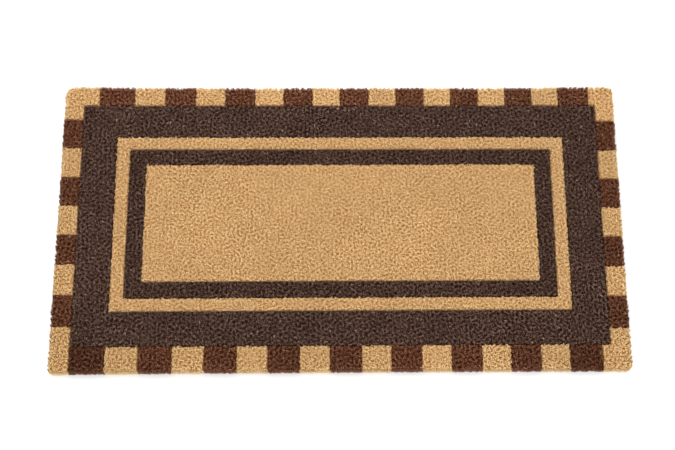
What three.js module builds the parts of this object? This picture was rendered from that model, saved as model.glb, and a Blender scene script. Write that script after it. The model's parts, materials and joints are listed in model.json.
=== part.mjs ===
// Door mat: a rectangular coir mat with a thin vinyl backing sheet.
//
// The pile is inlaid from separately dyed pieces of coir, all standing on the backing sheet:
// a tan centre field, a dark stripe, a tan stripe and a charcoal border nested round it, and
// a row of red-brown and tan check blocks along each edge, with a tan corner block where two
// rows meet.
//
// Units are millimetres. The origin is the middle of the underside, +X runs along the length,
// +Y from the front edge to the back edge, and +Z is up.

import * as THREE from 'three';

// Overall size of the mat.
const MAT_LENGTH = 750;
const MAT_DEPTH = 400;
const MAT_THICKNESS = 15;

// The corners are cut by hand, each with a slightly different radius.
const CORNER_RADII = { back: { left: 12, right: 8 }, front: { left: 6, right: 7 } };
const CORNER_STEPS = 8;

// The backing sheet stops just short of the pile's outer edge.
const BACKING_THICKNESS = 2;
const BACKING_INSET = 1;

// Nested zones, from the centre outwards. Each band is as wide on all four sides.
const FIELD_LENGTH = 524;
const FIELD_DEPTH = 166;
const DARK_STRIPE = 22.5;
const TAN_STRIPE = 18;
const CHARCOAL_BORDER = 47.5;

// The nested zones sit a little nearer to the back edge than to the front edge.
const PATTERN_SHIFT = 3.5;

// Check blocks. A row runs from `start` to `end` between its two corner blocks. It begins and
// ends with a red-brown block. `lean` is how much wider the blocks at its start are than those
// at its end, `tanShare` is a tan block's width over a red-brown one's, and `firstShare` and
// `lastShare` are how much wider the first and last blocks are than their neighbours.
const ROWS = {
  back: {
    start: -329.5, end: 342, blocks: 17, lean: 0.15, tanShare: 0.963, firstShare: 1.11, lastShare: 1.13,
  },
  front: {
    start: -350, end: 338.5, blocks: 17, lean: 0.143, tanShare: 0.956, firstShare: 1.02, lastShare: 1.08,
  },
  left: {
    start: -140, end: 153.5, blocks: 7, lean: 0, tanShare: 1.035, firstShare: 1.06, lastShare: 1.03,
  },
  right: {
    start: -145, end: 150.5, blocks: 7, lean: 0, tanShare: 0.985, firstShare: 1.03, lastShare: 1.03,
  },
};

// Block edges lie on this grid, so that neighbours meet face to face exactly.
const CUT_STEP = 0.5;

const PILE_HEIGHT = MAT_THICKNESS - BACKING_THICKNESS;
const HALF_LENGTH = MAT_LENGTH / 2;
const HALF_DEPTH = MAT_DEPTH / 2;
const NESTED_BANDS = DARK_STRIPE + TAN_STRIPE + CHARCOAL_BORDER;
const CHARCOAL_HALF_LENGTH = FIELD_LENGTH / 2 + NESTED_BANDS;
const CHARCOAL_HALF_DEPTH = FIELD_DEPTH / 2 + NESTED_BANDS;

// The edges of the charcoal border, which the check rows stand against.
const INNER = {
  left: -CHARCOAL_HALF_LENGTH,
  right: CHARCOAL_HALF_LENGTH,
  front: PATTERN_SHIFT - CHARCOAL_HALF_DEPTH,
  back: PATTERN_SHIFT + CHARCOAL_HALF_DEPTH,
};

const OUTER = { left: -HALF_LENGTH, right: HALF_LENGTH, front: -HALF_DEPTH, back: HALF_DEPTH };

function coir(color) {
  return new THREE.MeshStandardMaterial({ color, roughness: 0.95, metalness: 0 });
}

const TAN_COIR = coir(0xcca06c);
const RED_BROWN_COIR = coir(0x5d3a28);
const CHARCOAL_COIR = coir(0x4a372e);
const DARK_BROWN_COIR = coir(0x46332b);
const VINYL = new THREE.MeshStandardMaterial({ color: 0x2b2624, roughness: 0.7, metalness: 0 });

function named(name, geometry, material) {
  const mesh = new THREE.Mesh(geometry, material);
  mesh.name = name;
  return mesh;
}

function extruded(shape, height) {
  return new THREE.ExtrudeGeometry(shape, { depth: height, bevelEnabled: false });
}

// Points of a rectangle centred on the origin.
function rectangle(halfLength, halfDepth) {
  return [
    new THREE.Vector2(-halfLength, -halfDepth),
    new THREE.Vector2(halfLength, -halfDepth),
    new THREE.Vector2(halfLength, halfDepth),
    new THREE.Vector2(-halfLength, halfDepth),
  ];
}

// Points of the quarter circle that rounds an outer corner, drawn in by `inset` all round.
function roundedCorner(sideX, sideY, inset) {
  const signX = Math.sign(OUTER[sideX]);
  const signY = Math.sign(OUTER[sideY]);
  const radius = CORNER_RADII[sideY][sideX] - inset;
  const halfLength = HALF_LENGTH - inset;
  const halfDepth = HALF_DEPTH - inset;
  const points = [];
  for (let step = 0; step <= CORNER_STEPS; step += 1) {
    const angle = (Math.PI / 2) * (step / CORNER_STEPS);
    const x = signX * (halfLength - radius + radius * Math.sin(angle));
    const y = signY * (halfDepth - radius + radius * Math.cos(angle));
    points.push(new THREE.Vector2(x, y));
  }
  return points;
}

function backingSheet() {
  const outline = [
    ...roundedCorner('right', 'back', BACKING_INSET),
    ...roundedCorner('right', 'front', BACKING_INSET).reverse(),
    ...roundedCorner('left', 'front', BACKING_INSET),
    ...roundedCorner('left', 'back', BACKING_INSET).reverse(),
  ];
  return named('backing_sheet', extruded(new THREE.Shape(outline), BACKING_THICKNESS), VINYL);
}

// The centre field and the three rings nested round it.
function nestedZones() {
  const zones = new THREE.Group();
  zones.position.set(0, PATTERN_SHIFT, BACKING_THICKNESS);

  let halfLength = FIELD_LENGTH / 2;
  let halfDepth = FIELD_DEPTH / 2;
  const field = new THREE.Shape(rectangle(halfLength, halfDepth));
  zones.add(named('centre_field', extruded(field, PILE_HEIGHT), TAN_COIR));

  const rings = [
    { name: 'dark_stripe_ring', width: DARK_STRIPE, material: DARK_BROWN_COIR },
    { name: 'tan_stripe_ring', width: TAN_STRIPE, material: TAN_COIR },
    { name: 'charcoal_border_ring', width: CHARCOAL_BORDER, material: CHARCOAL_COIR },
  ];
  for (const { name, width, material } of rings) {
    const hole = new THREE.Path(rectangle(halfLength, halfDepth));
    halfLength += width;
    halfDepth += width;
    const ring = new THREE.Shape(rectangle(halfLength, halfDepth));
    ring.holes.push(hole);
    zones.add(named(name, extruded(ring, PILE_HEIGHT), material));
  }
  return zones;
}

// Places where the blocks of a row begin and end, from its start to its end.
function blockEdges({ start, end, blocks, lean, tanShare, firstShare, lastShare }) {
  const weights = [];
  for (let index = 0; index < blocks; index += 1) {
    const remaining = 1 - index / (blocks - 1);
    const isTan = index % 2 === 1;
    weights.push((1 + lean * remaining * remaining) * (isTan ? tanShare : 1));
  }
  weights[0] *= firstShare;
  weights[blocks - 1] *= lastShare;
  const total = weights.reduce((sum, weight) => sum + weight, 0);

  const edges = [start];
  let sum = 0;
  for (const weight of weights) {
    sum += weight;
    const place = start + (end - start) * (sum / total);
    edges.push(Math.round(place / CUT_STEP) * CUT_STEP);
  }
  return edges;
}

function checkBlock(name, lowX, highX, lowY, highY, material) {
  const geometry = new THREE.BoxGeometry(highX - lowX, highY - lowY, PILE_HEIGHT);
  const block = named(name, geometry, material);
  block.position.set((lowX + highX) / 2, (lowY + highY) / 2, PILE_HEIGHT / 2);
  return block;
}

// One row of red-brown and tan blocks between the charcoal border and the mat's edge.
function checkRow(side) {
  const row = new THREE.Group();
  const edges = blockEdges(ROWS[side]);
  const lowAcross = Math.min(INNER[side], OUTER[side]);
  const highAcross = Math.max(INNER[side], OUTER[side]);
  const runsAlongX = side === 'back' || side === 'front';

  for (let index = 0; index < edges.length - 1; index += 1) {
    const isTan = index % 2 === 1;
    const number = String(index + 1).padStart(2, '0');
    const name = `${side}_check_${number}_${isTan ? 'tan' : 'brown'}`;
    const material = isTan ? TAN_COIR : RED_BROWN_COIR;
    const [low, high] = [edges[index], edges[index + 1]];
    if (runsAlongX) {
      row.add(checkBlock(name, low, high, lowAcross, highAcross, material));
    } else {
      row.add(checkBlock(name, lowAcross, highAcross, low, high, material));
    }
  }
  return row;
}

// A tan corner block with a rounded outer corner. It wraps round the corner of the charcoal
// border, from the end of one row at alongX to the end of the other row at alongY.
function cornerBlock(sideX, sideY, alongX, alongY) {
  const outline = [
    ...roundedCorner(sideX, sideY, 0),
    new THREE.Vector2(OUTER[sideX], alongY),
    new THREE.Vector2(INNER[sideX], alongY),
  ];
  if (alongX !== INNER[sideX]) {
    outline.push(new THREE.Vector2(INNER[sideX], INNER[sideY]));
  }
  outline.push(new THREE.Vector2(alongX, INNER[sideY]));
  outline.push(new THREE.Vector2(alongX, OUTER[sideY]));
  const name = `${sideY}_${sideX}_corner_block`;
  return named(name, extruded(new THREE.Shape(outline), PILE_HEIGHT), TAN_COIR);
}

function checkBorder() {
  const border = new THREE.Group();
  border.position.z = BACKING_THICKNESS;
  for (const side of Object.keys(ROWS)) {
    border.add(checkRow(side));
  }
  border.add(cornerBlock('left', 'back', ROWS.back.start, ROWS.left.end));
  border.add(cornerBlock('right', 'back', ROWS.back.end, ROWS.right.end));
  border.add(cornerBlock('left', 'front', ROWS.front.start, ROWS.left.start));
  border.add(cornerBlock('right', 'front', ROWS.front.end, ROWS.right.start));
  return border;
}

const doorMat = new THREE.Group();
doorMat.add(backingSheet());
doorMat.add(nestedZones());
doorMat.add(checkBorder());

export default doorMat;
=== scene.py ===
import json
import math

import bpy
import numpy as np
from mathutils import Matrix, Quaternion, Vector


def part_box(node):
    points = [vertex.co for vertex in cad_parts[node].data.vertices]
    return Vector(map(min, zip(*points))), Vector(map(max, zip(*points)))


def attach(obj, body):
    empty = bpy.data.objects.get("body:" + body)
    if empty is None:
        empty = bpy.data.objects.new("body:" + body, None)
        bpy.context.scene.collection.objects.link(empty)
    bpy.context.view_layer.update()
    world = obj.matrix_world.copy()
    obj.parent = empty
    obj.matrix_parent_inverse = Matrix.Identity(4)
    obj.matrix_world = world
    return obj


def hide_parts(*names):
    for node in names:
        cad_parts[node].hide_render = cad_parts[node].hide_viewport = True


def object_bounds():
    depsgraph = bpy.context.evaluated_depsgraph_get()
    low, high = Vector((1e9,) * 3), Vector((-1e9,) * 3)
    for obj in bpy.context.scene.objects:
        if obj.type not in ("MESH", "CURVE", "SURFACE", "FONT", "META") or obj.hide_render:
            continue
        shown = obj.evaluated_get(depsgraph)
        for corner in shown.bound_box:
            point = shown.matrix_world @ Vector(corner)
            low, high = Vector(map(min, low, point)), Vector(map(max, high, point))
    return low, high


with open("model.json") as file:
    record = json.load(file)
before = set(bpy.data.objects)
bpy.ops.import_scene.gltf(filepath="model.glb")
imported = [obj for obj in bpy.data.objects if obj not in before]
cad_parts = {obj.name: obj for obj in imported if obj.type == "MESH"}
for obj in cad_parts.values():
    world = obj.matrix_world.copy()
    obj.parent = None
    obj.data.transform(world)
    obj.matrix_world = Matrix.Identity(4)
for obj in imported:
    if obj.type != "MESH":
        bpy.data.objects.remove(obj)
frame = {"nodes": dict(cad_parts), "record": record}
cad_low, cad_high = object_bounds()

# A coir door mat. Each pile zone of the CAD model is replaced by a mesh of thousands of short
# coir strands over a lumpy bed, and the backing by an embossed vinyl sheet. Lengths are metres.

MM = 0.001
TINY = 1e-9

# Each zone's random draws start from this and the zone's number.
SEED = 20


# ---------------------------------------------------------------- measures of the pile

# The mat's outline, from the CAD box. The corner radii repeat the CAD model's: the front left
# and front right corners, then the back left and back right ones.
HALF_LENGTH = (cad_high.x - cad_low.x) / 2
HALF_DEPTH = (cad_high.y - cad_low.y) / 2
PILE_TOP = cad_high.z
CORNER_RADII = np.array([[6.0, 7.0], [12.0, 8.0]]) * MM

# Lumps in the pile: how far apart their crests are, how even that is, how high they stand, how
# much deeper the pits between them are than the crests are high, and where that levels off.
# They are a little larger where the coir is dyed.
LUMP_SPACING = 5.3 * MM
DYED_LUMP_SPACING = 5.6 * MM
LUMP_VARIETY = 0.16
LUMP_HEIGHT = 0.55 * MM
LUMP_SKEW = 0.6
DEEPEST_PIT = -2.2
LUMP_WAVES = 80
LUMP_SEED = 7

# Strands that lie on top of the pile: how far apart they are and how unevenly, how long, how
# thick and how curled they are, how far their heights differ, and how far their headings stray
# from the crests that they lie along. A strand's root drops into the pile and its tip dips a
# little. A strand may reach past its zone's edge or stop short of it by the overhang, and the
# seams between zones waver besides.
STRAND_SPACING = 1.75 * MM
STRAND_JITTER = 0.5
STRAND_LENGTH = (3.2 * MM, 5.8 * MM)
STRAND_RADIUS = (0.42 * MM, 0.74 * MM)
STRAND_BEND = 1.2
STRAND_LIFT = 0.5 * MM
STRAND_STRAY = 1.2
ROOT_DROP = 5.0 * MM
TIP_DROP = 1.2 * MM
OVERHANG = (-0.8 * MM, 1.4 * MM)
SEAM_SPACING = 6.5 * MM
SEAM_WAVER = 0.8 * MM

# The tube of a strand: its rings, its sides, how thick it is at each ring from the root to just
# before the pointed tip, and the level share of its run under which it counts as straight up.
RINGS = 4
SIDES = 3
RING_THICKNESS = np.array([0.8, 1.0, 0.95, 0.7])
STEEP_RUN = 0.05

# Bristles that stand along the mat's cut edge, in rows one behind the other. The edge wavers
# with the lumps, less at its foot, and the bristles lean out and sideways towards their tips,
# most of all along the back. They start at the foot's height and end below the pile's top by
# the drop. Before the edges are bowed, no strand's middle line is further out than the slack.
EDGE_SPACING = 1.0 * MM
EDGE_ROWS = (-0.2 * MM, 0.8 * MM, 1.8 * MM)
EDGE_WAVER = 1.0 * MM
FOOT_WAVER = 0.35
EDGE_BULGE = 0.5 * MM
EDGE_FLARE = (0.2 * MM, 1.0 * MM)
BACK_FLARE = 1.3 * MM
EDGE_LEAN = 0.7 * MM
EDGE_FOOT = 0.75 * MM
EDGE_DROP = (-0.9 * MM, 0.7 * MM)
OUTLINE_SLACK = 2.2 * MM

# How far the corners reach out past the middles of the edges, which bow in. The higher the
# power is, the nearer to the corners that starts.
BACK_BOW = 1.8 * MM
FRONT_BOW = 0.9 * MM
SIDE_BOW = 0.7 * MM
BOW_POWER = 4

# The lumpy bed under the strands.
BED_CELL = 5 * MM
BED_TOP = PILE_TOP - 3.2 * MM
BED_LUMP = 0.7 * MM
BED_INSET = 0.4 * MM
BED_EDGE_INSET = 1.8 * MM

# The vinyl backing and its embossed underside.
BACKING_CELL = 6 * MM
EMBOSS = 0.6 * MM

# The bare share round each strand's cell in a baked picture, the share of the cell that the
# hidden end of its root takes up, and the bare share round a sheet.
CELL_MARGIN = 0.12
ROOT_CELL = 0.01
SHEET_MARGIN = 0.01

# Faces that rise by less than this count as level.
LEVEL_RISE = 2 * MM

# The most strands in one piece.
STRANDS_PER_PIECE = 8600

# Heights in the pile, in lump heights, between which its painted shade may change: the deeper a
# place, the darker it is painted, as if shaded by the strands above it. The bristles on the cut
# edge are in the open, so each counts as about one height all the way down and takes about the
# painted shade of the open surface.
CREST_RANGE = (-5.0, 2.0)
EDGE_CREST = 0.4
EDGE_CREST_VARIETY = 0.6

# How much lighter or darker whole rows of blocks are, by the row and the last word of the node's
# name, and a few odd zones. This is painted light, lighter on the back rows than on the front
# ones, and painted shade on the two front end blocks. The side rows and the other odd zones are
# just lighter or darker. Then how much every zone's dye may differ besides.
ROW_PAINTED_LIGHT_AND_DYE = {
    ("back", "brown"): 1.21,
    ("back", "tan"): 1.07,
    ("back", "block"): 1.06,
    ("front", "brown"): 1.01,
    ("front", "tan"): 0.98,
    ("front", "block"): 0.95,
    ("left", "brown"): 1.06,
    ("right", "brown"): 1.01,
}
ODD_PAINTED_LIGHT_AND_DYE = {
    "front_check_01_brown": 0.80,
    "front_check_17_brown": 0.87,
    "centre_field": 1.03,
    "tan_stripe_ring": 0.985,
}
LOT_VARIETY = (0.96, 1.04)


# ---------------------------------------------------------------- lumps and zones

class Lumps:
    """A field of smooth lumps over the whole mat: many waves of about one length, every way."""

    def __init__(self, spacing):
        rng = np.random.default_rng(LUMP_SEED)
        heading = rng.uniform(0, 2 * math.pi, LUMP_WAVES)
        rate = 2 * math.pi / spacing * rng.normal(1, LUMP_VARIETY, LUMP_WAVES)
        self.waves = np.stack([np.cos(heading), np.sin(heading)]) * rate
        self.phase = rng.uniform(0, 2 * math.pi, LUMP_WAVES)
        self.scale = math.sqrt(2 / LUMP_WAVES)

    def height(self, points):
        """From about -4.6 in the deepest pits to about 1.3 on the crests."""
        even = np.cos(points @ self.waves + self.phase).sum(axis=-1) * self.scale
        even = np.maximum(even, DEEPEST_PIT)
        return (1 - np.exp(-LUMP_SKEW * even)) / LUMP_SKEW

    def along_crest(self, points):
        """The heading along the nearest crest."""
        slope = np.sin(points @ self.waves + self.phase) @ self.waves.T
        return np.arctan2(slope[:, 0], -slope[:, 1])


tan_lumps = Lumps(LUMP_SPACING)
dyed_lumps = Lumps(DYED_LUMP_SPACING)
seam_lumps = Lumps(SEAM_SPACING)

# The material slot of each CAD node.
slots = {part["node"]: part["material_slot"] for part in frame["record"]["subparts"]}


class Zone:
    """One pile piece of the CAD model: a rectangle, less an optional rectangle cut from it."""

    def __init__(self, node, cut_node=None):
        self.node = node
        is_tan = slots[node] == "tan_coir"
        self.lumps = tan_lumps if is_tan else dyed_lumps
        # Where tan coir reaches past a seam, dyed coir stays back by as much.
        self.seam_waver = SEAM_WAVER if is_tan else -SEAM_WAVER
        low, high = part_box(node)
        self.low = np.array([low.x, low.y])
        self.high = np.array([high.x, high.y])
        self.floor = low.z
        self.cut = None
        if cut_node is not None:
            cut_low, cut_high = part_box(cut_node)
            self.cut = (np.array([cut_low.x, cut_low.y]), np.array([cut_high.x, cut_high.y]))

    def holds(self, points):
        inside = np.all((points > self.low) & (points < self.high), axis=1)
        if self.cut is not None:
            low, high = self.cut
            inside &= ~np.all((points > low) & (points < high), axis=1)
        return inside


def pile_zones():
    """The nested zones from the field outwards, then the corner and check blocks by name."""
    nested = ["centre_field", "dark_stripe_ring", "tan_stripe_ring", "charcoal_border_ring"]
    zones = [Zone(nested[0])]
    for inner, ring in zip(nested, nested[1:]):
        zones.append(Zone(ring, inner))
    for node in sorted(frame["nodes"]):
        if node.endswith("corner_block"):
            zones.append(Zone(node, nested[-1]))
        elif "_check_" in node:
            zones.append(Zone(node))
    return zones


def outline_distance(points):
    """How far each point is outside the mat's rounded outline, and the way out from there."""
    radius = CORNER_RADII[(points[..., 1] > 0).astype(int), (points[..., 0] > 0).astype(int)]
    beyond = np.abs(points) - np.array([HALF_LENGTH, HALF_DEPTH]) + radius[..., None]
    outside = np.maximum(beyond, 0)
    length = np.linalg.norm(outside, axis=-1)
    distance = length + np.minimum(np.max(beyond, axis=-1), 0) - radius
    way = np.where(
        (length > 0)[..., None],
        outside / np.maximum(length, TINY)[..., None],
        (beyond == np.max(beyond, axis=-1, keepdims=True)).astype(float),
    )
    return distance, way * np.sign(points)


# ---------------------------------------------------------------- strands

def scattered(rng, zone):
    """Strand centres on a jittered grid over the zone."""
    span = zone.high - zone.low
    counts = np.maximum(np.round(span / STRAND_SPACING).astype(int), 1)
    steps = [(np.arange(count) + 0.5) / count for count in counts]
    grid = np.stack(np.meshgrid(*steps, indexing="ij"), axis=-1).reshape(-1, 2)
    points = zone.low + grid * span
    points += rng.uniform(-0.5, 0.5, points.shape) * STRAND_SPACING * STRAND_JITTER
    distance, _ = outline_distance(points)
    return points[zone.holds(points) & (distance < 0)]


def kept_in(rng, zone, spines):
    """Moves whole strands so that each reaches only a little way past its zone's edge."""
    low = spines[:, :, :2].min(axis=1)
    high = spines[:, :, :2].max(axis=1)
    margin = rng.uniform(*OVERHANG, (len(spines), 1))
    margin += zone.seam_waver * seam_lumps.height((low + high) / 2)[:, None]
    shift = np.maximum(zone.low - margin - low, 0) - np.maximum(high - zone.high - margin, 0)
    spines[:, :, :2] += shift[:, None, :]
    if zone.cut is None:
        return spines

    # A strand that reaches into the cut moves back out by the shortest of the four ways.
    low, high = low + shift, high + shift
    into_low = high - (zone.cut[0] + margin)
    into_high = (zone.cut[1] - margin) - low
    reach = np.stack([into_low[:, 0], into_low[:, 1], into_high[:, 0], into_high[:, 1]], axis=1)
    crossing = np.all(reach > 0, axis=1)
    side = np.argmin(reach, axis=1)
    push = np.where(crossing, reach[np.arange(len(side)), side], 0)
    ways = np.array([[-1, 0], [0, -1], [1, 0], [0, 1]])
    spines[:, :, :2] += (ways[side] * push[:, None])[:, None, :]
    return spines


def lying_strands(rng, zone):
    """Spines of curled strands that rise out of the bed and lie over at the top."""
    centres = scattered(rng, zone)
    count = len(centres)
    along = np.linspace(0, 1, RINGS + 1)
    length = rng.uniform(*STRAND_LENGTH, count)
    heading = zone.lumps.along_crest(centres) + rng.choice([0, math.pi], count)
    heading += rng.normal(0, STRAND_STRAY, count)
    bend = rng.normal(0, STRAND_BEND, count)
    angle = heading[:, None] + bend[:, None] * (along - 0.5)
    step = (length / RINGS)[:, None]
    flat = np.stack([np.cos(angle) * step, np.sin(angle) * step], axis=-1)
    flat = np.cumsum(flat, axis=1)
    flat += (centres - flat.mean(axis=1))[:, None, :]

    # The strand rises out of the bed early along its length, and its tip dips late.
    lift = rng.uniform(-STRAND_LIFT, STRAND_LIFT, count)[:, None]
    height = PILE_TOP + lift
    height = height - ROOT_DROP * (1 - along) ** 3 - TIP_DROP * along ** 4
    spines = kept_in(rng, zone, np.concatenate([flat, height[..., None]], axis=-1))
    spines[:, :, 2] += LUMP_HEIGHT * zone.lumps.height(spines[:, :, :2])
    radius = rng.uniform(*STRAND_RADIUS, count)
    return spines, radius


def outline_points(spacing):
    """Points about a spacing apart along the mat's rounded outline, with the way out at each."""
    xs = np.arange(-HALF_LENGTH, HALF_LENGTH, spacing)
    ys = np.arange(-HALF_DEPTH, HALF_DEPTH, spacing)
    square = np.concatenate([
        np.stack([xs, np.full(len(xs), -HALF_DEPTH)], axis=1),
        np.stack([np.full(len(ys), HALF_LENGTH), ys], axis=1),
        np.stack([-xs, np.full(len(xs), HALF_DEPTH)], axis=1),
        np.stack([np.full(len(ys), -HALF_LENGTH), -ys], axis=1),
    ])
    distance, way = outline_distance(square)
    return square - way * distance[:, None], way


def edge_bristles(rng, zone):
    """Spines of bristles that stand along the part of the mat's outline inside the zone."""
    # A place on the outline belongs to the zone just inside it.
    points, ways = outline_points(EDGE_SPACING)
    mine = zone.holds(points - ways * MM)
    points, ways = points[mine], ways[mine]
    waver = EDGE_WAVER * zone.lumps.height(points)[:, None]
    sideways = np.stack([-ways[:, 1], ways[:, 0]], axis=1)
    along = np.linspace(0, 1, RINGS + 1)
    count = len(points)
    spines, radii = [], []
    for inset in EDGE_ROWS:
        shift = rng.uniform(-0.5, 0.5, (count, 1)) * EDGE_SPACING
        root = points - ways * inset + sideways * shift
        lean = rng.normal(0, EDGE_LEAN, (count, 1)) * along ** 1.5
        flare = rng.uniform(*EDGE_FLARE, (count, 1)) + BACK_FLARE * np.maximum(ways[:, 1:], 0)
        out = EDGE_BULGE * np.sin(math.pi * along) + flare * along ** 2
        out += waver * (FOOT_WAVER + (1 - FOOT_WAVER) * along)
        flat = (root[:, None, :] + sideways[:, None, :] * lean[:, :, None]
                + ways[:, None, :] * out[:, :, None])
        top = PILE_TOP - rng.uniform(*EDGE_DROP, (count, 1))
        height = EDGE_FOOT + (top - EDGE_FOOT) * along
        spines.append(np.concatenate([flat, height[..., None]], axis=-1))
        radii.append(rng.uniform(*STRAND_RADIUS, count))
    return np.concatenate(spines), np.concatenate(radii)


def tubes(spines, radius):
    """Closed tapering tubes along the spines: their vertices and triangles, strand by strand."""
    count = len(spines)
    run = np.gradient(spines, axis=1)
    run /= np.linalg.norm(run, axis=2, keepdims=True)
    side = np.cross(run, np.array([0.0, 0.0, 1.0]))
    steep = np.linalg.norm(side, axis=2, keepdims=True) < STEEP_RUN
    side = np.where(steep, np.array([1.0, 0.0, 0.0]), side)
    side /= np.linalg.norm(side, axis=2, keepdims=True)
    over = np.cross(side, run)

    turn = math.pi / 2 + np.arange(SIDES) * 2 * math.pi / SIDES
    ring = (np.cos(turn)[:, None] * side[:, :RINGS, None, :]
            + np.sin(turn)[:, None] * over[:, :RINGS, None, :])
    thick = radius[:, None] * RING_THICKNESS
    rings = spines[:, :RINGS, None, :] + ring * thick[:, :, None, None]
    verts = np.concatenate([rings.reshape(count, -1, 3), spines[:, -1:, :]], axis=1)

    faces, uvs = tube_pattern()
    per = RINGS * SIDES + 1
    all_faces = (np.arange(count)[:, None, None] * per + faces).reshape(-1, 3)
    return verts.reshape(-1, 3), all_faces, uvs, per


def tube_pattern():
    """The triangles of one tube, and their corners' places in its own 1 by 1 cell."""
    faces, uvs = [], []
    tip = RINGS * SIDES
    for level in range(RINGS):
        low_v, high_v = level / RINGS, (level + 1) / RINGS
        for side in range(SIDES):
            after = (side + 1) % SIDES
            low_u, high_u = side / SIDES, (side + 1) / SIDES
            a, b = level * SIDES + side, level * SIDES + after
            if level == RINGS - 1:
                faces.append((a, b, tip))
                uvs.append(((low_u, low_v), (high_u, low_v), ((low_u + high_u) / 2, high_v)))
                continue
            c, d = a + SIDES, b + SIDES
            faces.append((a, b, d))
            uvs.append(((low_u, low_v), (high_u, low_v), (high_u, high_v)))
            faces.append((a, d, c))
            uvs.append(((low_u, low_v), (high_u, high_v), (low_u, high_v)))
    faces.append(tuple(reversed(range(SIDES))))
    uvs.append(((0.0, 0.0), (ROOT_CELL, 0.0), (0.0, ROOT_CELL)))
    return np.array(faces), np.array(uvs)


# ---------------------------------------------------------------- beds and sheets

def smooth_noise(points, size, phase):
    """A smooth wobble between -1 and 1, whose lumps are one to two times `size` across."""
    x, y = points[:, 0] / size, points[:, 1] / size
    waves = (np.sin(x * 2.1 + phase) * np.cos(y * 1.7 - phase)
             + np.sin(x * 1.3 - y * 2.3 + 2 * phase) + np.cos(x * 2.9 + y * 1.1 + 3 * phase))
    return waves / 3


def cuts_between(low, high, cell, extra=()):
    """Grid lines from low to high about a cell apart, which pass through the extra places."""
    stops = sorted({low, high, *[place for place in extra if low < place < high]})
    lines = [stops[0]]
    for start, end in zip(stops, stops[1:]):
        count = max(int(round((end - start) / cell)), 1)
        lines.extend(start + (end - start) * (np.arange(count) + 1) / count)
    return np.array(lines)


def slab(low, high, cut, cell):
    """A closed grid slab over a rectangle less a cut.

    It is given as where its vertices are in plan, which of them are on top, and its faces.
    """
    extra = ((), ()) if cut is None else ((cut[0][0], cut[1][0]), (cut[0][1], cut[1][1]))
    xs = cuts_between(low[0], high[0], cell, extra[0])
    ys = cuts_between(low[1], high[1], cell, extra[1])
    nx, ny = len(xs) - 1, len(ys) - 1
    kept = np.ones((nx, ny), bool)
    if cut is not None:
        middles = ((xs[1:] + xs[:-1]) / 2, (ys[1:] + ys[:-1]) / 2)
        middle = np.stack(np.meshgrid(*middles, indexing="ij"), axis=-1)
        kept = ~np.all((middle > cut[0]) & (middle < cut[1]), axis=-1)
    places = np.stack(np.meshgrid(xs, ys, indexing="ij"), axis=-1).reshape(-1, 2)
    under = len(places)
    index = np.arange(under).reshape(nx + 1, ny + 1)

    a, b = index[:-1, :-1][kept], index[1:, :-1][kept]
    c, d = index[1:, 1:][kept], index[:-1, 1:][kept]
    quads = [np.stack([a, b, c, d], axis=1), np.stack([d, c, b, a], axis=1) + under]
    padded = np.pad(kept, 1)
    walls = [
        (kept & ~padded[1:-1, :-2], index[:-1, :-1], index[1:, :-1]),
        (kept & ~padded[2:, 1:-1], index[1:, :-1], index[1:, 1:]),
        (kept & ~padded[1:-1, 2:], index[1:, 1:], index[:-1, 1:]),
        (kept & ~padded[:-2, 1:-1], index[:-1, 1:], index[:-1, :-1]),
    ]
    for bare, start, end in walls:
        p, q = start[bare], end[bare]
        quads.append(np.stack([p, p + under, q + under, q], axis=1))
    quads = np.concatenate(quads)
    used, faces = np.unique(quads, return_inverse=True)
    is_top = used < under
    return places[used % under], is_top, faces.reshape(-1, 4)


def kept_inside_outline(places, inset):
    """Places pulled back so that they are at least `inset` inside the mat's outline."""
    distance, way = outline_distance(places)
    return places - way * np.maximum(distance + inset, 0)[:, None]


def bowed(points):
    """Places with the corners pulled out a little, so that the edges bow in at their middles."""
    share = np.prod((points / np.array([HALF_LENGTH, HALF_DEPTH])) ** BOW_POWER, axis=1)
    along = SIDE_BOW * np.sign(points[:, 0])
    across = np.where(points[:, 1] > 0, BACK_BOW, -FRONT_BOW)
    return points + np.stack([along, across], axis=1) * share[:, None]


def pile_bed(zone, phase):
    """The lumpy closed bed under a zone's strands."""
    cut = None
    if zone.cut is not None:
        cut = (zone.cut[0] - BED_INSET, zone.cut[1] + BED_INSET)
    places, is_top, faces = slab(zone.low + BED_INSET, zone.high - BED_INSET, cut, BED_CELL)
    places = kept_inside_outline(places, BED_EDGE_INSET)
    top = BED_TOP + BED_LUMP * smooth_noise(places, BED_CELL, phase)
    height = np.where(is_top, top, zone.floor)
    return np.concatenate([places, height[:, None]], axis=1), faces


# ---------------------------------------------------------------- meshes

NO_TRIANGLES = np.zeros((0, 3), int)
NO_QUADS = np.zeros((0, 4), int)


def filled_mesh(name, verts, triangles, quads):
    """A mesh from arrays: triangles first, then quads."""
    mesh = bpy.data.meshes.new(name)
    corners = np.concatenate([triangles.ravel(), quads.ravel()]).astype(np.int32)
    starts = np.concatenate([
        np.arange(len(triangles)) * 3,
        len(triangles) * 3 + np.arange(len(quads)) * 4,
    ]).astype(np.int32)
    mesh.vertices.add(len(verts))
    mesh.vertices.foreach_set("co", verts.astype(np.float32).ravel())
    mesh.loops.add(len(corners))
    mesh.loops.foreach_set("vertex_index", corners)
    mesh.polygons.add(len(starts))
    mesh.polygons.foreach_set("loop_start", starts)
    mesh.update(calc_edges=True)
    mesh.validate()
    return mesh


def set_float(mesh, name, values):
    """Stores a number with each vertex."""
    mesh.attributes.new(name, "FLOAT", "POINT").data.foreach_set("value", values.astype(np.float32))


def set_bake_uv(mesh, uvs):
    layer = mesh.uv_layers.new(name="OFBake")
    layer.uv.foreach_set("vector", uvs.astype(np.float32).ravel())


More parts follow.
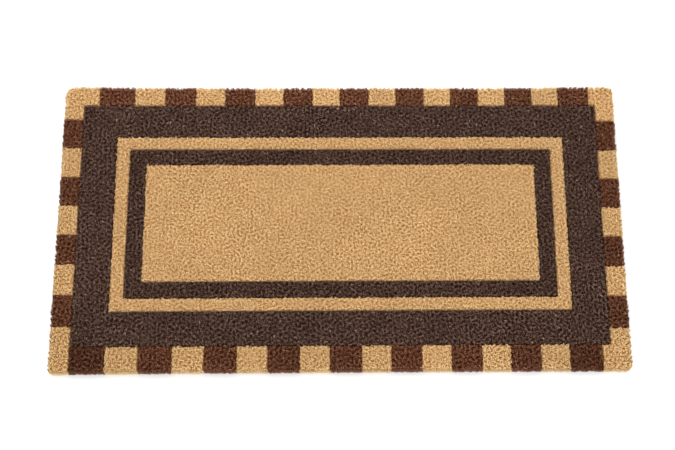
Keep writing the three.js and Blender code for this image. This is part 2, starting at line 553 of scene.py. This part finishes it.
def strand_uvs(count, pattern):
    """Each strand's corners in a cell of its own."""
    columns = math.ceil(math.sqrt(count))
    cell = np.array([1 / columns, 1 / math.ceil(count / columns)])
    number = np.arange(count)
    corner = np.stack([number % columns, number // columns], axis=1) * cell
    inner = CELL_MARGIN + pattern * (1 - 2 * CELL_MARGIN)
    return (corner[:, None, None, :] + inner * cell).reshape(-1, 2)


def slab_uvs(verts, faces):
    """Top and underside side by side, seen from above."""
    low, high = verts[:, :2].min(axis=0), verts[:, :2].max(axis=0)
    flat = (verts[:, :2] - low) / (high - low)
    heights = verts[:, 2][faces]
    level = heights.max(axis=1) - heights.min(axis=1) < LEVEL_RISE
    under = level & (heights.mean(axis=1) < (verts[:, 2].min() + verts[:, 2].max()) / 2)
    uv = flat[faces] * (1 - 2 * SHEET_MARGIN) + SHEET_MARGIN
    uv[..., 0] = (uv[..., 0] + under[:, None]) / 2
    return uv.reshape(-1, 2)


def pile_height(verts):
    """How far above or below the middle of the pile's surface, in lump heights, for the painted
    shade.
    """
    return np.clip((verts[:, 2] - PILE_TOP) / LUMP_HEIGHT, *CREST_RANGE)


def strand_mesh(name, rng, spines, radius, is_edge, dye_and_painted_light):
    """A mesh of strands, with the height of each place for its painted shade, each strand's tone,
    and the zone's dye and painted light.
    """
    verts, triangles, pattern, per = tubes(spines, radius)
    mesh = filled_mesh(name, verts, triangles, NO_QUADS)
    edge_crest = rng.normal(EDGE_CREST, EDGE_CREST_VARIETY, len(spines))
    # The edge bristles take the painted shade of about an open surface; other places take their
    # height in the pile.
    crest = np.where(np.repeat(is_edge, per), np.repeat(edge_crest, per), pile_height(verts))
    set_float(mesh, "crest", crest)
    set_float(mesh, "tone", np.repeat(rng.uniform(0, 1, len(spines)), per))
    set_float(mesh, "dye_and_painted_light", np.full(len(verts), dye_and_painted_light))
    set_bake_uv(mesh, strand_uvs(len(spines), pattern))
    return mesh


def bed_mesh(name, zone, phase, dye_and_painted_light):
    """A mesh of the bed. It has no tone, and so counts as a strand of the lowest tone. It lies deep
    in the pile, so it takes the darkest painted shade.
    """
    verts, faces = pile_bed(zone, phase)
    mesh = filled_mesh(name, verts, NO_TRIANGLES, faces)
    set_float(mesh, "crest", pile_height(verts))
    set_float(mesh, "dye_and_painted_light", np.full(len(verts), dye_and_painted_light))
    set_bake_uv(mesh, slab_uvs(verts, faces))
    return mesh


def placed(mesh, material, node):
    """A mesh as a smooth piece on the mat's body, which stands for the CAD node."""
    mesh.polygons.foreach_set("use_smooth", np.ones(len(mesh.polygons), bool))
    mesh.materials.append(material)
    piece = bpy.data.objects.new(mesh.name, mesh)
    bpy.context.scene.collection.objects.link(piece)
    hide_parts(node)
    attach(piece, "root")
    return piece


def zone_dye_and_painted_light(rng, node):
    """How light a zone's colour is. Each zone's dye differs a little at random, and whole rows and
    a few odd zones are lighter or darker, with painted light that is lighter on the back rows than
    on the front ones.
    """
    words = node.split("_")
    dye_and_painted_light = ODD_PAINTED_LIGHT_AND_DYE.get(node, ROW_PAINTED_LIGHT_AND_DYE.get((words[0], words[-1]), 1.0))
    return dye_and_painted_light * rng.uniform(*LOT_VARIETY)


def pile_pieces(zone, number, material):
    """One zone's bed and its strands, in as many pieces as keep each mesh a moderate size."""
    rng = np.random.default_rng(SEED + number)
    spines, radius = lying_strands(rng, zone)
    edge_spines, edge_radius = edge_bristles(rng, zone)
    is_edge = np.arange(len(spines) + len(edge_spines)) >= len(spines)
    spines = np.concatenate([spines, edge_spines])
    radius = np.concatenate([radius, edge_radius])
    flat = kept_inside_outline(spines[:, :, :2].reshape(-1, 2), -OUTLINE_SLACK)
    spines[:, :, :2] = bowed(flat).reshape(len(spines), -1, 2)

    # The zone's dye, with painted light that is lighter on the back rows than on the front ones.
    dye_and_painted_light = zone_dye_and_painted_light(rng, zone.node)
    pieces = [placed(bed_mesh(zone.node + "_bed", zone, number, dye_and_painted_light), material, zone.node)]
    # Each piece of a large zone holds the strands of one stretch of it, from left to right.
    from_left = np.argsort(spines[:, 0, 0], kind="stable")
    groups = np.array_split(from_left, math.ceil(len(spines) / STRANDS_PER_PIECE))
    for index, group in enumerate(groups):
        name = zone.node + "_strands" + (f"_{index + 1}" if len(groups) > 1 else "")
        mesh = strand_mesh(name, rng, spines[group], radius[group], is_edge[group], dye_and_painted_light)
        pieces.append(placed(mesh, material, zone.node))
    return pieces


def backing_piece(material):
    """The vinyl sheet, with its corners rounded and its underside embossed."""
    low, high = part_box("backing_sheet")
    places, is_top, faces = slab(
        np.array([low.x, low.y]), np.array([high.x, high.y]), None, BACKING_CELL)
    step = np.round((places - places.min(axis=0)) / BACKING_CELL).astype(int)
    raised = (step.sum(axis=1) % 2 == 1) & ~is_top
    places = kept_inside_outline(places, HALF_LENGTH - high.x)
    height = np.where(is_top, high.z, low.z) + np.where(raised, EMBOSS, 0)
    verts = np.concatenate([places, height[:, None]], axis=1)
    mesh = filled_mesh("vinyl_backing", verts, NO_TRIANGLES, faces)
    set_bake_uv(mesh, slab_uvs(verts, faces))
    return placed(mesh, material, "backing_sheet")


# ---------------------------------------------------------------- materials

# The fibres' grain and the patches of their dye, in lumps per metre.
COIR_GRAIN = 1500.0
COIR_PATCHES = 14.0

# How fine each noise's detail is, and the range that most of its values lie in.
GRAIN_DETAIL = 3.0
COIR_PATCH_DETAIL = 2.0
VINYL_PATCH_DETAIL = 4.0
NOISE_RANGE = (0.3, 0.7)

# How far the grain shifts a place along the run of colours, and where on the run they stand.
GRAIN_SHIFT = 0.10
RUN_STOPS = (0.0, 0.32, 0.5, 1.0)

COIR_ROUGHNESS = (0.70, 0.95)
COIR_BUMP = 0.35
COIR_SPECULAR = 0.06

# The run of heights that each coir's colours cover, in lump heights. How far a strand's tone
# shifts it along the run, and how much lighter or darker tones and patches make it. The colours
# from deep in the pile to its crests, painted shade in the pits, the coir's own colour in the
# middle and a painted sheen on the crests, and the colour and the share of the stray fibres.
COIR_LOOKS = {
    "tan_coir": {
        "reach": (-4.2, 2.0),
        "tones": 0.03,
        "variety": 0.035,
        "run": (
            (0.38, 0.184, 0.058), (0.59, 0.343, 0.132),
            (0.694, 0.473, 0.229), (0.720, 0.531, 0.285),
        ),
        "stray": (0.81, 0.62, 0.38),
        "stray_share": 0.004,
    },
    "red_brown_coir": {
        "reach": (-3.6, 1.8),
        "tones": 0.14,
        "variety": 0.11,
        "run": (
            (0.036, 0.011, 0.004), (0.098, 0.031, 0.012),
            (0.157, 0.060, 0.030), (0.236, 0.110, 0.064),
        ),
        "stray": (0.36, 0.20, 0.11),
        "stray_share": 0.005,
    },
    "charcoal_coir": {
        "reach": (-3.6, 1.8),
        "tones": 0.18,
        "variety": 0.11,
        "run": (
            (0.020, 0.008, 0.004), (0.067, 0.032, 0.021),
            (0.115, 0.0625, 0.0435), (0.207, 0.139, 0.110),
        ),
        "stray": (0.40, 0.27, 0.16),
        "stray_share": 0.003,
    },
    "dark_brown_coir": {
        "reach": (-3.6, 1.8),
        "tones": 0.16,
        "variety": 0.11,
        "run": (
            (0.016, 0.006, 0.003), (0.058, 0.027, 0.018),
            (0.103, 0.055, 0.038), (0.174, 0.114, 0.089),
        ),
        "stray": (0.24, 0.15, 0.10),
        "stray_share": 0.008,
    },
}

# The vinyl's grain and the patches of its colour, in lumps per metre.
VINYL_GRAIN = 700.0
VINYL_PATCHES = 14.0
VINYL_COLORS = ((0.016, 0.014, 0.013), (0.034, 0.030, 0.027))
VINYL_ROUGHNESS = (0.45, 0.75)
VINYL_BUMP = 0.4

BUMP_HEIGHT = 0.2 * MM

# The places of a Mix node's colour sockets among its sockets of all kinds.
MIX_COLOR_A = 6
MIX_COLOR_B = 7
MIX_COLOR_RESULT = 2


class Nodes:
    """Short ways to add and link a material's nodes."""

    def __init__(self, name):
        self.material = bpy.data.materials.new(name)
        self.material.use_nodes = True
        self.tree = self.material.node_tree
        self.shader = self.tree.nodes["Principled BSDF"]

    def add(self, kind, inputs=None, **settings):
        node = self.tree.nodes.new(kind)
        for name, value in settings.items():
            setattr(node, name, value)
        for name, value in (inputs or {}).items():
            if isinstance(value, bpy.types.NodeSocket):
                self.tree.links.new(value, node.inputs[name])
            else:
                node.inputs[name].default_value = value
        return node

    def link(self, output, name):
        self.tree.links.new(output, self.shader.inputs[name])

    def noise(self, vector, scale, detail):
        node = self.add("ShaderNodeTexNoise", {"Vector": vector, "Scale": scale, "Detail": detail})
        return node.outputs["Fac"]

    def mapped(self, value, low, high, source=(0.0, 1.0)):
        node = self.add("ShaderNodeMapRange", {
            "Value": value, "From Min": source[0], "From Max": source[1],
            "To Min": low, "To Max": high,
        })
        return node.outputs["Result"]

    def attribute(self, name):
        return self.add("ShaderNodeAttribute", attribute_name=name).outputs["Fac"]

    def times(self, first, second):
        return self.add("ShaderNodeMath", {0: first, 1: second}, operation="MULTIPLY").outputs[0]

    def plus(self, first, second):
        return self.add("ShaderNodeMath", {0: first, 1: second}).outputs[0]

    def mixed(self, color, other, share):
        node = self.add("ShaderNodeMix", data_type="RGBA")
        self.tree.links.new(share, node.inputs["Factor"])
        self.tree.links.new(color, node.inputs[MIX_COLOR_A])
        node.inputs[MIX_COLOR_B].default_value = (*other, 1.0)
        return node.outputs[MIX_COLOR_RESULT]

    def ramp(self, value, stops):
        node = self.add("ShaderNodeValToRGB", {"Fac": value})
        elements = node.color_ramp.elements
        while len(elements) < len(stops):
            elements.new(1.0)
        for element, (place, color) in zip(elements, stops):
            element.position = place
            element.color = (*color, 1.0)
        return node.outputs["Color"]

    def scaled(self, color, factor):
        node = self.add("ShaderNodeVectorMath", {0: color, "Scale": factor}, operation="SCALE")
        return node.outputs["Vector"]

    def add_relief(self, height, strength):
        bump = self.add("ShaderNodeBump", {
            "Height": height, "Strength": strength, "Distance": BUMP_HEIGHT,
        })
        self.link(bump.outputs["Normal"], "Normal")


def coir_material(name, reach, tones, variety, run, stray, stray_share):
    """Coir, whose colour runs from painted shade deep in the pile, through its own colour, to a
    painted sheen on the crests of its lumps.

    A strand's own tone and its grain shift it along the run. The tone and patches of the dye
    also make it lighter or darker, and so do the zone's dye and its painted light, lighter on the
    back rows than on the front ones. The strands with the highest tones are stray, paler fibres.
    """
    nodes = Nodes(name)
    place = nodes.add("ShaderNodeTexCoord").outputs["Object"]
    crest = nodes.attribute("crest")
    tone = nodes.attribute("tone")
    grain = nodes.noise(place, COIR_GRAIN, GRAIN_DETAIL)
    shift = nodes.plus(
        nodes.mapped(tone, -tones, tones),
        nodes.mapped(grain, -GRAIN_SHIFT, GRAIN_SHIFT, NOISE_RANGE),
    )
    # The height in the pile sets the painted shade in the pits and the painted sheen on the crests.
    level = nodes.plus(nodes.mapped(crest, 0.0, 1.0, reach), shift)
    color = nodes.ramp(level, list(zip(RUN_STOPS, run)))
    is_stray = nodes.add("ShaderNodeMath", {0: tone, 1: 1 - stray_share}, operation="GREATER_THAN")
    color = nodes.mixed(color, stray, is_stray.outputs[0])
    patches = nodes.noise(place, COIR_PATCHES, COIR_PATCH_DETAIL)
    patches = nodes.mapped(patches, 1 - variety, 1 + variety, NOISE_RANGE)
    # The zone's dye, and painted light that is lighter on the back rows than on the front ones,
    # scale the colour.
    strength = nodes.times(nodes.mapped(tone, 1 - variety, 1 + variety), nodes.attribute("dye_and_painted_light"))
    nodes.link(nodes.scaled(color, nodes.times(patches, strength)), "Base Color")
    nodes.link(nodes.mapped(grain, *COIR_ROUGHNESS), "Roughness")
    nodes.add_relief(grain, COIR_BUMP)
    nodes.shader.inputs["Specular IOR Level"].default_value = COIR_SPECULAR
    return nodes.material


def vinyl_material():
    """Black vinyl with slightly paler patches and a fine grain."""
    nodes = Nodes("backing_vinyl")
    place = nodes.add("ShaderNodeTexCoord").outputs["Object"]
    patches = nodes.noise(place, VINYL_PATCHES, VINYL_PATCH_DETAIL)
    nodes.link(nodes.ramp(patches, list(zip(NOISE_RANGE, VINYL_COLORS))), "Base Color")
    grain = nodes.noise(place, VINYL_GRAIN, GRAIN_DETAIL)
    nodes.link(nodes.mapped(grain, *VINYL_ROUGHNESS), "Roughness")
    nodes.add_relief(grain, VINYL_BUMP)
    return nodes.material


# ---------------------------------------------------------------- floor, light and camera

# The camera looks at its target from this direction and distance, a little rolled. Its lens,
# sensor and shift are as Blender has them: millimetres, and a share of the frame's width.
CAMERA_ELEVATION = math.radians(69.171)
CAMERA_AZIMUTH = math.radians(-5.167)
CAMERA_ROLL = math.radians(4.655)
CAMERA_DISTANCE = 2.0094
CAMERA_LENS = 79.76
CAMERA_SENSOR = 36.0
CAMERA_SHIFT = -0.0741
CAMERA_TARGET = Vector((0.0622, 0.0042, 0.0))

FLOOR_REACH = 6.0
FLOOR_HEIGHT = -0.1 * MM
FLOOR_GREY = 0.745
FLOOR_ROUGHNESS = 0.9

SKY_STRENGTH = 1.58
KEY_LIGHT = {"place": (-0.35, 0.95, 1.3), "size": 0.9, "power": 15.0}
FILL_LIGHT = {"place": (0.5, -1.8, 0.8), "size": 1.2, "power": 19.0}


def make_camera():
    """The camera stands in front of the mat's middle and looks a little to the right of it.

    Its frame is shifted back to the left.
    """
    data = bpy.data.cameras.new("camera")
    data.sensor_width = CAMERA_SENSOR
    data.lens = CAMERA_LENS
    data.shift_x = CAMERA_SHIFT
    camera = bpy.data.objects.new("camera", data)
    bpy.context.scene.collection.objects.link(camera)
    level = math.cos(CAMERA_ELEVATION)
    back = Vector((
        math.sin(CAMERA_AZIMUTH) * level,
        -math.cos(CAMERA_AZIMUTH) * level,
        math.sin(CAMERA_ELEVATION),
    ))
    camera.location = CAMERA_TARGET + back * CAMERA_DISTANCE
    camera.rotation_mode = "QUATERNION"
    roll = Quaternion((0, 0, 1), CAMERA_ROLL)
    camera.rotation_quaternion = (-back).to_track_quat("-Z", "Y") @ roll
    bpy.context.scene.camera = camera


def make_floor():
    """A pale floor just under the mat."""
    data = bpy.data.meshes.new("floor")
    ends = [(-1, -1), (1, -1), (1, 1), (-1, 1)]
    corners = [(x * FLOOR_REACH, y * FLOOR_REACH, FLOOR_HEIGHT) for x, y in ends]
    data.from_pydata(corners, [], [(0, 1, 2, 3)])
    nodes = Nodes("floor")
    nodes.shader.inputs["Base Color"].default_value = (FLOOR_GREY, FLOOR_GREY, FLOOR_GREY, 1.0)
    nodes.shader.inputs["Roughness"].default_value = FLOOR_ROUGHNESS
    data.materials.append(nodes.material)
    floor = bpy.data.objects.new("floor", data)
    bpy.context.scene.collection.objects.link(floor)


def area_light(name, place, size, power):
    """A square light that faces the middle of the mat, with its size in metres."""
    data = bpy.data.lights.new(name, "AREA")
    data.shape = "SQUARE"
    data.size = size
    data.energy = power
    light = bpy.data.objects.new(name, data)
    bpy.context.scene.collection.objects.link(light)
    light.location = place
    light.rotation_mode = "QUATERNION"
    light.rotation_quaternion = (-Vector(place)).to_track_quat("-Z", "Y")


def make_light():
    """A white sky, with one light above and behind the mat and another in front of it."""
    world = bpy.data.worlds.new("studio")
    world.use_nodes = True
    background = world.node_tree.nodes["Background"]
    background.inputs["Color"].default_value = (1.0, 1.0, 1.0, 1.0)
    background.inputs["Strength"].default_value = SKY_STRENGTH
    bpy.context.scene.world = world
    area_light("key", **KEY_LIGHT)
    area_light("fill", **FILL_LIGHT)
    bpy.context.scene.view_settings.view_transform = "Standard"


# ---------------------------------------------------------------- the scene

make_camera()
make_floor()
make_light()
materials = {name: coir_material(name, **look) for name, look in COIR_LOOKS.items()}
for number, zone in enumerate(pile_zones()):
    slot = slots[zone.node]
    for pile in pile_pieces(zone, number, materials[slot]):
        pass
backing = backing_piece(vinyl_material())
